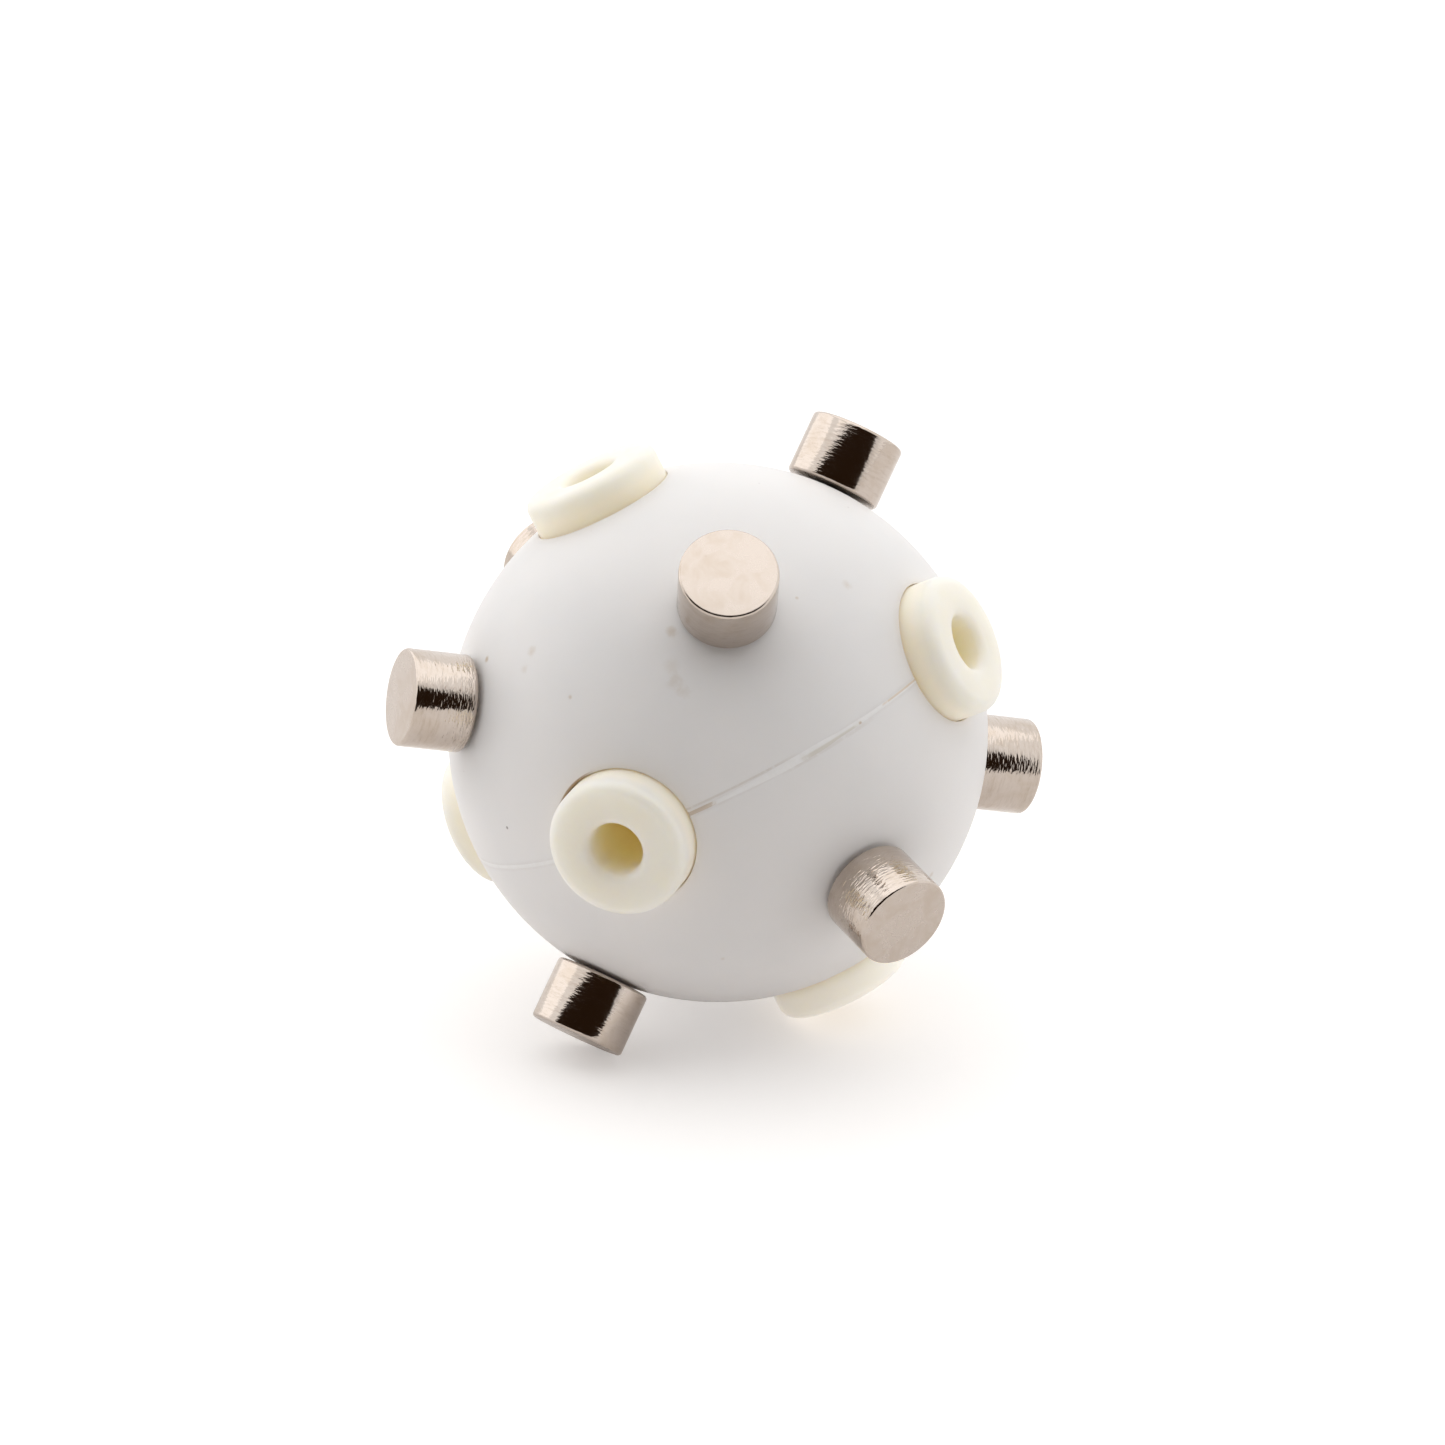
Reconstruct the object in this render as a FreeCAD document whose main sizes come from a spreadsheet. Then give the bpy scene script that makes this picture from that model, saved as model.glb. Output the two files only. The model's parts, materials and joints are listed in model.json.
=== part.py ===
"""Magnetic ball core: a two-part white ball on a six-arm spider, with eight magnets inside and eight outside.

Millimetres. Each piece is modelled about the ball's centre in the core's own axes: the top arm along +Z,
the right arm along +X and the front arm along -Y. The whole core is then leaned about the front arm's axis
until the bottom post and two of the outer magnets stand on the floor together, and lifted onto the floor.
"""

import FreeCAD, Part
import math
import os

import Sketcher

X_AXIS = FreeCAD.Vector(1, 0, 0)
Y_AXIS = FreeCAD.Vector(0, 1, 0)
Z_AXIS = FreeCAD.Vector(0, 0, 1)

# The driving dimensions, in millimetres.
DIMENSIONS = {
    "ball_radius": 12.5,
    "shell_wall": 1.2,
    "seam_groove": 0.12,  # radius of the fine groove round the seam
    "lip_radius": 11.82,  # outside of the locating lip on the upper shell
    "lip_depth": 0.8,
    "lip_gap": 0.05,
    "post_radius": 3.25,
    "post_reach": 13.7,  # ball centre to the end face of a post
    "post_edge": 0.45,  # rounding of the post's outer edge
    "post_gap": 0.06,  # between a post and the hole in the shell
    "collar_radius": 4.2,  # the collar on each arm stops the shell sliding out along the post
    "collar_top": 10.35,
    "collar_height": 1.2,
    "hub_radius": 5.0,
    "bore_radius": 1.25,  # pilot hole for a self-tapping screw
    "bore_depth": 8.0,
    "bore_mouth": 0.25,  # rounding of the hole's mouth
    "magnet_radius": 2.25,
    "magnet_height": 3.0,
    "magnet_edge": 0.12,
    "pocket_gap": 0.05,
    "pocket_wall": 0.7,
    "pocket_skin": 0.85,  # plastic left over an inner magnet, on its axis
    "glue_gap": 0.02,
    "seat_gap": 0.03,  # between the skin and an outer magnet's flat base
}

# The six arms.
SIDES = {"top": Z_AXIS, "bottom": -Z_AXIS, "right": X_AXIS, "left": -X_AXIS, "front": -Y_AXIS, "back": Y_AXIS}

# The eight magnets stand at the corners of the cube round the ball, as (right, back, top) signs.
CORNERS = {
    "a": (1, -1, 1),
    "b": (1, -1, -1),
    "c": (-1, -1, 1),
    "d": (1, 1, 1),
    "e": (1, 1, -1),
    "f": (-1, -1, -1),
    "g": (-1, 1, 1),
    "h": (-1, 1, -1),
}

doc = FreeCAD.newDocument("ball_core")
dims = doc.addObject("Spreadsheet::Sheet", "dims")
for row, (alias, size) in enumerate(DIMENSIONS.items(), start=1):
    dims.set(f"A{row}", alias)
    dims.set(f"B{row}", str(size))
    dims.setAlias(f"B{row}", alias)
doc.recompute()


def bind(item, **formulas):
    """Ties an object's properties to formulas on the sheet's dimensions."""
    for name, formula in formulas.items():
        item.setExpression(name, formula)


def new_body(name):
    """A PartDesign body whose label names its file."""
    body = doc.addObject("PartDesign::Body", name)
    body.Label = name
    return body


def origin_item(body, role):
    """One of the body's own origin planes or axes, such as XY_Plane."""
    return next(item for item in body.Origin.OriginFeatures if item.Role == role)


def round_sketch(body, name, radius):
    """A circle about the origin on the body's XY plane."""
    sketch = body.newObject("Sketcher::SketchObject", name)
    sketch.AttachmentSupport = (origin_item(body, "XY_Plane"), [""])
    sketch.MapMode = "FlatFace"
    sketch.addGeometry(Part.Circle(FreeCAD.Vector(), Z_AXIS, 1.0), False)
    sketch.addConstraint(Sketcher.Constraint("Coincident", 0, 3, -1, 1))
    sketch.addConstraint(Sketcher.Constraint("Radius", 0, 1.0))
    sketch.setExpression("Constraints[1]", radius)
    return sketch


def round_pad(body, name, radius, length):
    """A cylinder padded up from a circle on the XY plane."""
    pad = body.newObject("PartDesign::Pad", name)
    pad.Profile = round_sketch(body, name + "_sketch", radius)
    bind(pad, Length=length)


def aim(item, start, direction):
    """Turns an object's own Z axis to a direction and starts it at a distance along it."""
    item.Placement.Rotation = FreeCAD.Rotation(Z_AXIS, direction)
    for axis, share in zip("xyz", FreeCAD.Vector(direction).normalize()):
        item.setExpression(f"Placement.Base.{axis}", f"({start}) * {share:.12f}")


def cylinder(body, kind, name, radius, height, start, direction):
    """An additive or subtractive cylinder along a direction, from a distance along it."""
    tube = body.newObject(f"PartDesign::{kind}Cylinder", name)
    aim(tube, start, direction)
    bind(tube, Radius=radius, Height=height)


def round_edges(body, name, wanted, radius):
    """Rounds the edges of the body so far that the test picks."""
    doc.recompute()
    base = body.Tip
    names = [f"Edge{i}" for i, edge in enumerate(base.Shape.Edges, start=1) if wanted(edge)]
    if not names:
        raise RuntimeError(f"{body.Label}: no edges found for {name}")
    rounding = body.newObject("PartDesign::Fillet", name)
    rounding.Base = (base, names)
    bind(rounding, Radius=radius)


def is_circle(edge, radius):
    """Whether an edge is a circle or arc of this radius."""
    return isinstance(edge.Curve, Part.Circle) and abs(edge.Curve.Radius - radius) < 1e-6


def build_spider():
    """Six arms on a round hub. Each ends in a post with a blind screw hole, and carries a collar."""
    body = new_body("spider")
    hub = body.newObject("PartDesign::AdditiveSphere", "hub")
    bind(hub, Radius="dims.hub_radius")
    collar_start = "dims.collar_top - dims.collar_height"
    sections = (
        ("Additive", "arm", "dims.post_radius", "dims.post_reach", "0 mm"),
        ("Additive", "collar", "dims.collar_radius", "dims.collar_height", collar_start),
        ("Subtractive", "bore", "dims.bore_radius", "dims.bore_depth", "dims.post_reach - dims.bore_depth"),
    )
    for side, direction in SIDES.items():
        for kind, part, radius, height, start in sections:
            cylinder(body, kind, f"{side}_{part}", radius, height, start, direction)

    def at_an_end(edge, radius):
        return is_circle(edge, radius) and abs(edge.Curve.Center.Length - dims.post_reach) < 1e-6

    round_edges(body, "post_edges", lambda edge: at_an_end(edge, dims.post_radius), "dims.post_edge")
    round_edges(body, "bore_mouths", lambda edge: at_an_end(edge, dims.bore_radius), "dims.bore_mouth")
    return body


def primitive(kind, name, start="0 mm", direction=Z_AXIS, **sizes):
    """A Part primitive along a direction, from a distance along it, with its sizes tied to the sheet."""
    item = doc.addObject(f"Part::{kind}", name)
    aim(item, start, direction)
    bind(item, **sizes)
    return item


def union(name, pieces):
    """Several solids made one."""
    joined = doc.addObject("Part::MultiFuse", name)
    joined.Shapes = pieces
    return joined


def difference(name, base, tool):
    """One solid less another."""
    cut = doc.addObject("Part::Cut", name)
    cut.Base = base
    cut.Tool = tool
    return cut


def build_half_shell(name, has_lip):
    """One half of the ball, drawn dome up, with its holes for the posts and four magnet pockets inside."""
    hole_radius = "dims.post_radius + dims.post_gap"
    pocket_radius = "dims.magnet_radius + dims.pocket_gap"
    pocket_depth = "dims.magnet_height + dims.glue_gap"
    pocket_start = "dims.ball_radius - dims.pocket_skin - dims.magnet_height - dims.glue_gap"
    boss_radius = f"{pocket_radius} + dims.pocket_wall"
    boss_height = f"{pocket_depth} + dims.pocket_skin / 4"  # runs on a little into the skin
    corners = [FreeCAD.Vector(across, along, 1) for across in (1, -1) for along in (1, -1)]

    solid = primitive("Sphere", f"{name}_dome", Radius="dims.ball_radius")
    solid.Angle1 = 0
    if has_lip:
        lip = primitive("Cylinder", f"{name}_lip", "-dims.lip_depth", Radius="dims.lip_radius",
                        Height="dims.lip_depth")
        solid = union(f"{name}_dome_and_lip", [solid, lip])
    hollow = primitive("Sphere", f"{name}_hollow", Radius="dims.ball_radius - dims.shell_wall")
    wall = difference(f"{name}_wall", solid, hollow)
    bosses = [
        primitive("Cylinder", f"{name}_boss", pocket_start, corner, Radius=boss_radius, Height=boss_height)
        for corner in corners
    ]
    cuts = [
        primitive("Cylinder", f"{name}_pocket", pocket_start, corner, Radius=pocket_radius, Height=pocket_depth)
        for corner in corners
    ]
    for side in ("top", "right", "left", "front", "back"):
        cuts.append(primitive("Cylinder", f"{name}_{side}_hole", "dims.ball_radius / 2", SIDES[side],
                              Radius=hole_radius, Height="dims.ball_radius"))
    cuts.append(primitive("Torus", f"{name}_groove", Radius1="dims.ball_radius", Radius2="dims.seam_groove"))
    if not has_lip:
        depth = "dims.lip_depth + dims.lip_gap"
        recess_radius = "dims.lip_radius + dims.lip_gap"
        cuts.append(primitive("Cylinder", f"{name}_recess", Radius=recess_radius, Height=depth))
    shell = difference(name, union(f"{name}_solid", [wall, *bosses]), union(f"{name}_cuts", cuts))
    shell.Label = name
    return shell


def build_magnet(name):
    """A plated cylinder magnet standing on the XY plane, with a fine round on both edges."""
    body = new_body(name)
    round_pad(body, "disc", "dims.magnet_radius", "dims.magnet_height")
    round_edges(body, "edges", lambda edge: is_circle(edge, dims.magnet_radius), "dims.magnet_edge")
    return body


def depth_below_centre(lean, end, radius, edge, direction):
    """How far a round-ended post or magnet reaches below the ball's centre at this lean.

    end, radius and edge are the distance of its end face from the centre, its radius and its edge rounding.
    direction is its axis in the core's own axes.
    """
    down = lean.multVec(FreeCAD.Vector(*direction).normalize()).dot(-Z_AXIS)
    return (end - edge) * down + (radius - edge) * math.sqrt(1 - down * down) + edge


def resting_pose():
    """The core's lean and lift, with the bottom post and magnets f and h all on the floor."""
    magnet_end = dims.ball_radius + dims.seat_gap + dims.magnet_height

    def reaches(angle):
        lean = FreeCAD.Rotation(Y_AXIS, -angle)
        post = depth_below_centre(lean, dims.post_reach, dims.post_radius, dims.post_edge, (0, 0, -1))
        magnet = depth_below_centre(lean, magnet_end, dims.magnet_radius, dims.magnet_edge, CORNERS["f"])
        return post, magnet

    low, high = 0.0, 45.0  # upright, the post is lower; at 45 degrees the magnets are
    while high - low > 1e-12:
        middle = (low + high) / 2
        post, magnet = reaches(middle)
        low, high = (middle, high) if post > magnet else (low, middle)
    return FreeCAD.Placement(FreeCAD.Vector(0, 0, reaches(low)[0]), FreeCAD.Rotation(Y_AXIS, -low))


def magnet_place(pose, direction, start):
    """Where a magnet goes: its axis along a corner direction and its base this far from the centre."""
    axis = FreeCAD.Vector(*direction).normalize()
    return pose * FreeCAD.Placement(axis * start, FreeCAD.Rotation(Z_AXIS, axis))


pose = resting_pose()
inner_start = dims.ball_radius - dims.pocket_skin - dims.glue_gap - dims.magnet_height
outer_start = dims.ball_radius + dims.seat_gap
placed = {
    build_spider(): pose,
    build_half_shell("upper_shell", has_lip=True): pose,
    build_half_shell("lower_shell", has_lip=False): pose * FreeCAD.Placement(
        FreeCAD.Vector(), FreeCAD.Rotation(X_AXIS, 180)
    ),
}
for letter, direction in CORNERS.items():
    placed[build_magnet(f"inner_magnet_{letter}")] = magnet_place(pose, direction, inner_start)
    placed[build_magnet(f"outer_magnet_{letter}")] = magnet_place(pose, direction, outer_start)
for body, placement in placed.items():
    body.Placement = placement

doc.recompute()
for item in doc.Objects:
    if {"Invalid", "Error"} & set(item.State):
        raise RuntimeError(f"{item.Label} failed: {item.State}")
for body in placed:
    if body.Shape.isNull() or not body.Shape.isValid() or len(body.Shape.Solids) != 1:
        raise RuntimeError(f"{body.Label} is not one valid solid")

os.makedirs("parts", exist_ok=True)
for body in placed:
    body.Shape.exportStep(f"parts/{body.Label}.step")
    print(f"{body.Label}: {body.Shape.Volume:.2f} mm3")
print(f"lean {math.degrees(pose.Rotation.Angle):.3f} degrees, centre {pose.Base.z:.4f} mm above the floor")
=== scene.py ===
"""Looks of a magnetic ball core: a white two-part ball, an ivory six-armed spider and sixteen disc magnets.

Every piece is made in the core's own millimetres (x to the right arm, y to the back arm, z to the top arm)
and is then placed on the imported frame, so that it lies where its CAD solid lies.
"""
import json
import logging
import math
from dataclasses import dataclass, field
from enum import Enum
from typing import Any, Callable, Iterable, Sequence, Union

import bmesh
import bpy
from mathutils import Matrix, Vector


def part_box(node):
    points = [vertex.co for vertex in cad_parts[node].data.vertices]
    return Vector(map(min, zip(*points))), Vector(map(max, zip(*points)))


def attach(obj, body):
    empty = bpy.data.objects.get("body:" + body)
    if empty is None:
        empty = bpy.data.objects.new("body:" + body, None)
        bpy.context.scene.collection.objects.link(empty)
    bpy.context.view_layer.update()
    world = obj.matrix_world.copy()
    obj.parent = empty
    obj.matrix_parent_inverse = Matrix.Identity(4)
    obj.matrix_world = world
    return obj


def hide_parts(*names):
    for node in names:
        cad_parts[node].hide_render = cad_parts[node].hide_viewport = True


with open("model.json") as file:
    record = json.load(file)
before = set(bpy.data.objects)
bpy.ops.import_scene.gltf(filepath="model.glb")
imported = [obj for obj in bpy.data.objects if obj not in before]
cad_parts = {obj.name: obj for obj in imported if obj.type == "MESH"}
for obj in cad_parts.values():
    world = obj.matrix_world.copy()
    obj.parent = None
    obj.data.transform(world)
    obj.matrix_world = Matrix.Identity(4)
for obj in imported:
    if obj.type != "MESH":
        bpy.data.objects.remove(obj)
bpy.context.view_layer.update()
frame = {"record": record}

log = logging.getLogger("ball_core")

MILLIMETRE = 0.001
MAKER_POINT = "maker_point"
OWN_NUMBER = "own_number"
COARSE_NUMBER = 40.0
PATTERN_STEP = 3.7
INNER_PATTERN_STEP = 1.9
Triple = tuple[float, float, float]
Colour = Triple


class Body(Enum):
    """The rigid bodies of the frame that are named one by one here."""

    BALL = "ball"


class Slot(Enum):
    """The record's material slots."""

    BALL_PLASTIC = "ball_plastic"
    SPIDER_PLASTIC = "spider_plastic"
    NICKEL_PLATE = "nickel_plate"


class Joining(Enum):
    """How one solid changes another."""

    ADD = "UNION"
    CUT = "DIFFERENCE"


class Corner(Enum):
    """The eight corner directions of the core, which are where the magnets sit."""

    A = (1, -1, 1)
    B = (1, -1, -1)
    C = (-1, -1, 1)
    D = (1, 1, 1)
    E = (1, 1, -1)
    F = (-1, -1, -1)
    G = (-1, 1, 1)
    H = (-1, 1, -1)

    @property
    def letter(self) -> str:
        """The letter that the frame's names end with."""
        return self.name.lower()

    @property
    def ground_coarse(self) -> bool:
        """Whether the corner's magnet has the coarser grinding lines."""
        return self in (Corner.B, Corner.C, Corner.E, Corner.H)

    @property
    def direction(self) -> Vector:
        """The corner's direction as a vector of length one."""
        return Vector(self.value).normalized()


# ---------------------------------------------------------------- placing on the frame


@dataclass(frozen=True)
class CorePlace:
    """Where the core stands in the frame: its centre and its three arm directions.

    Attributes:
        centre: The ball's centre, in metres.
        right: Direction of the right arm.
        back: Direction of the back arm.
        top: Direction of the top arm.
    """

    centre: Vector
    right: Vector
    back: Vector
    top: Vector

    @classmethod
    def from_record(cls, record: dict[str, Any]) -> "CorePlace":
        """Read the place from the record's screw bores.

        Args:
            record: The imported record.

        Returns:
            The place of the core.
        """
        mounts = {mount["name"]: mount for mount in record["mounts"]}
        bore = {side: mounts[f"{side}_screw_bore"] for side in ("front", "back", "right", "top")}
        centre = (Vector(bore["front"]["pos_m"]) + Vector(bore["back"]["pos_m"])) / 2
        axes = [Vector(bore[side]["axis"]).normalized() for side in ("right", "back", "top")]
        return cls(centre, *axes)

    @property
    def matrix(self) -> Matrix:
        """From the core's own millimetres to the frame's metres."""
        turn = Matrix((self.right, self.back, self.top)).transposed().to_4x4()
        return Matrix.Translation(self.centre) @ turn @ Matrix.Scale(MILLIMETRE, 4)


# ---------------------------------------------------------------- shader maths


def operator_node(operation: str, flipped: bool = False) -> Callable[["Signal", "Term"], "Signal"]:
    """Make the method that turns one operation into a Math node.

    Args:
        operation: The node's operation.
        flipped: Whether the signal stands on the operator's right, as in 1 - mask.

    Returns:
        The method.
    """
    def method(self: "Signal", other: "Term") -> "Signal":
        """The operation's result with a number or another signal."""
        return self.bench.maths(operation, *((other, self) if flipped else (self, other)))

    return method


@dataclass(frozen=True)
class Signal:
    """A value that changes over a surface: the output socket of a shader node, with arithmetic.

    Attributes:
        bench: The node tree that the socket belongs to.
        socket: The output socket.
    """

    bench: "NodeBench"
    socket: bpy.types.NodeSocket

    __add__, __radd__ = operator_node("ADD"), operator_node("ADD", True)
    __sub__, __rsub__ = operator_node("SUBTRACT"), operator_node("SUBTRACT", True)
    __mul__, __rmul__ = operator_node("MULTIPLY"), operator_node("MULTIPLY", True)
    __truediv__, __rtruediv__ = operator_node("DIVIDE"), operator_node("DIVIDE", True)
    __pow__, __rpow__ = operator_node("POWER"), operator_node("POWER", True)
    most, least = operator_node("MAXIMUM"), operator_node("MINIMUM")

    def __abs__(self) -> "Signal":
        """The value without its sign."""
        return self.bench.maths("ABSOLUTE", self)

    def rise(self, start: float, end: float) -> "Signal":
        """A soft step from 0 at start to 1 at end; start may be the larger, for a soft fall."""
        flip = start > end
        low, high = min(start, end), max(start, end)
        span = (0.0, 1.0) if not flip else (1.0, 0.0)
        settings = {"data_type": "FLOAT", "interpolation_type": "SMOOTHSTEP", "clamp": True}
        inputs = {"Value": self, "From Min": low, "From Max": high, "To Min": span[0], "To Max": span[1]}
        return self.bench.node("ShaderNodeMapRange", settings, inputs, "Result")


Term = Union[Signal, float, int]


class NodeBench:
    """Builds one node tree, for a material or for the world."""

    def __init__(self, tree: bpy.types.NodeTree) -> None:
        """Start from an empty tree."""
        self.tree = tree
        self.tree.nodes.clear()

    def node(self, kind: str, settings: dict[str, Any] | None = None,
             inputs: dict[Union[str, int], Any] | None = None, output: Union[str, int] = 0) -> Signal:
        """Add one node.

        Args:
            kind: The node's type.
            settings: Its properties, which are set before anything else.
            inputs: Values or signals for its input sockets, by name or number.
            output: The output socket wanted.

        Returns:
            The wanted output as a signal.
        """
        made = self.tree.nodes.new(kind)
        for key, value in (settings or {}).items():
            setattr(made, key, value)
        for key, value in (inputs or {}).items():
            if isinstance(value, Signal):
                self.tree.links.new(value.socket, made.inputs[key])
            elif isinstance(value, tuple) and len(value) == 3 and made.inputs[key].type == "RGBA":
                made.inputs[key].default_value = (*value, 1.0)
            else:
                made.inputs[key].default_value = value
        return Signal(self, made.outputs[output])

    def maths(self, operation: str, *terms: Term) -> Signal:
        """Add a Math node with its inputs in order."""
        return self.node("ShaderNodeMath", {"operation": operation}, dict(enumerate(terms)))

    def vector_maths(self, operation: str, *terms: Any, output: str = "Vector") -> Signal:
        """Add a Vector Math node; its output is Vector, or Value for a length or a product."""
        return self.node("ShaderNodeVectorMath", {"operation": operation}, dict(enumerate(terms)), output)

    def maker_point(self) -> Signal:
        """The place on the piece in its maker's millimetres, kept with its mesh."""
        return self.node("ShaderNodeAttribute", {"attribute_name": MAKER_POINT}, output="Vector")

    def own_number(self) -> Signal:
        """The number that tells one magnet from the next, past COARSE_NUMBER where it is ground coarser."""
        return self.node("ShaderNodeAttribute", {"attribute_name": OWN_NUMBER}, output="Fac")

    def axis(self, vector: Signal, letter: str) -> Signal:
        """The X, Y or Z component of a vector."""
        return self.node("ShaderNodeSeparateXYZ", inputs={0: vector}, output=letter)

    def stretch(self, vector: Signal, by: Triple) -> Signal:
        """A vector scaled along its three axes."""
        return self.vector_maths("MULTIPLY", vector, by)

    def distance(self, vector: Signal, to: Triple) -> Signal:
        """Distance of a point from a fixed point."""
        return self.vector_maths("DISTANCE", vector, to, output="Value")

    def noise(self, vector: Signal, scale: float, detail: float = 2.0, roughness: float = 0.5,
              warp: float = 0.0, number: Signal | None = None) -> Signal:
        """Cloudy noise between about 0.2 and 0.8.

        Args:
            vector: Where it is read.
            scale: Clouds per unit.
            detail: Number of finer layers.
            roughness: Strength of the finer layers.
            warp: How much the clouds are bent.
            number: A further dimension, which gives another pattern for another number.

        Returns:
            The noise.
        """
        inputs = {"Vector": vector, "Scale": scale, "Detail": detail, "Roughness": roughness,
                  "Distortion": warp}
        if number is not None:
            inputs["W"] = number
        settings = {"noise_dimensions": "3D" if number is None else "4D"}
        return self.node("ShaderNodeTexNoise", settings, inputs, "Fac")

    def specks(self, vector: Signal, per_unit: float, size: float, share: float) -> Signal:
        """Small round specks, at random places and few of them.

        Args:
            vector: Where they are read.
            per_unit: Cells per unit, of which each may hold one speck.
            size: Radius of the largest speck as a share of a cell.
            share: The share of cells that hold one.

        Returns:
            1 on a speck and 0 elsewhere.
        """
        cells = {"Vector": vector, "Scale": per_unit}
        near = self.node("ShaderNodeTexVoronoi", {"feature": "F1"}, cells, "Distance")
        pick = self.axis(self.node("ShaderNodeTexVoronoi", {"feature": "F1"}, cells, "Color"), "X")
        held = pick.rise(1.0 - share, 1.0 - share * 0.4)
        return near.rise(size, size * 0.45) * held

    def blend(self, mask: Term, first: Any, second: Any, kind: str = "MIX") -> Signal:
        """One colour, where the mask is 0, turning into another, where it is 1."""
        settings = {"data_type": "RGBA", "blend_type": kind, "clamp_factor": True}
        return self.node("ShaderNodeMix", settings, {0: mask, 6: first, 7: second}, 2)

    def tint(self, mask: Term, under: Any, over: Any) -> Signal:
        """A colour multiplied by another where the mask is 1."""
        return self.blend(mask, under, over, "MULTIPLY")

    def bump(self, height: Signal, depth: float, strength: float, under: Signal | None = None) -> Signal:
        """Relief from a height signal.

        Args:
            height: The height, about 0 to 1.
            depth: What a height of 1 stands for, in metres.
            strength: Share of the relief that is used.
            under: A relief that this one is laid over.

        Returns:
            The bent normal.
        """
        inputs: dict[Union[str, int], Any] = {"Height": height, "Distance": depth, "Strength": strength}
        if under is not None:
            inputs["Normal"] = under
        return self.node("ShaderNodeBump", {}, inputs, "Normal")

    def surface(self, inputs: dict[Union[str, int], Any]) -> None:
        """Close the tree with one Principled shader."""
        shader = self.node("ShaderNodeBsdfPrincipled", {"subsurface_method": "RANDOM_WALK"}, inputs)
        self.node_out("ShaderNodeOutputMaterial", shader)

    def node_out(self, kind: str, shader: Signal) -> None:
        """Add the tree's output node and put the shader into it."""
        self.tree.links.new(shader.socket, self.tree.nodes.new(kind).inputs["Surface"])


# ---------------------------------------------------------------- finishes


@dataclass(frozen=True)
class Finish:
    """What every finish does: it opens a material and paints it with nodes.

    Attributes:
        title: The material's name.
    """

    title: str = "finish"

    def material(self) -> bpy.types.Material:
        """Make the material.

        Returns:
            The material.
        """
        made = bpy.data.materials.new(self.title)
        made.use_nodes = True
        self.paint(NodeBench(made.node_tree))
        return made

    def paint(self, bench: NodeBench) -> None:
        """Build the nodes, which each finish does in its own way."""
        raise NotImplementedError


@dataclass(frozen=True)
class Smudge:
    """A brownish mark left on the white plastic by handling.

    Attributes:
        near: The corner whose magnet it lies nearest to.
        clock: Its side of that magnet, as on a clock face with 12 towards the top arm.
        away: Its distance from that magnet's axis along the ball, in millimetres.
        reach: How far it spreads, in millimetres.
        depth: How dark it is, from 0 to 1.
    """

    near: Corner
    clock: float
    away: float
    reach: float
    depth: float

    def middle(self, ball_radius: float) -> Triple:
        """Work out where its middle lies on the ball.

        Args:
            ball_radius: The ball's radius, in millimetres.

        Returns:
            The middle, in the core's millimetres.
        """
        outward = self.near.direction
        up = (Vector((0.0, 0.0, 1.0)) - outward * outward.z).normalized()
        hand, bend = math.radians(30.0 * self.clock), self.away / ball_radius
        sideways = up.cross(outward) * math.sin(hand) + up * math.cos(hand)
        return tuple((outward * math.cos(bend) + sideways * math.sin(bend)) * ball_radius)


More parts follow.
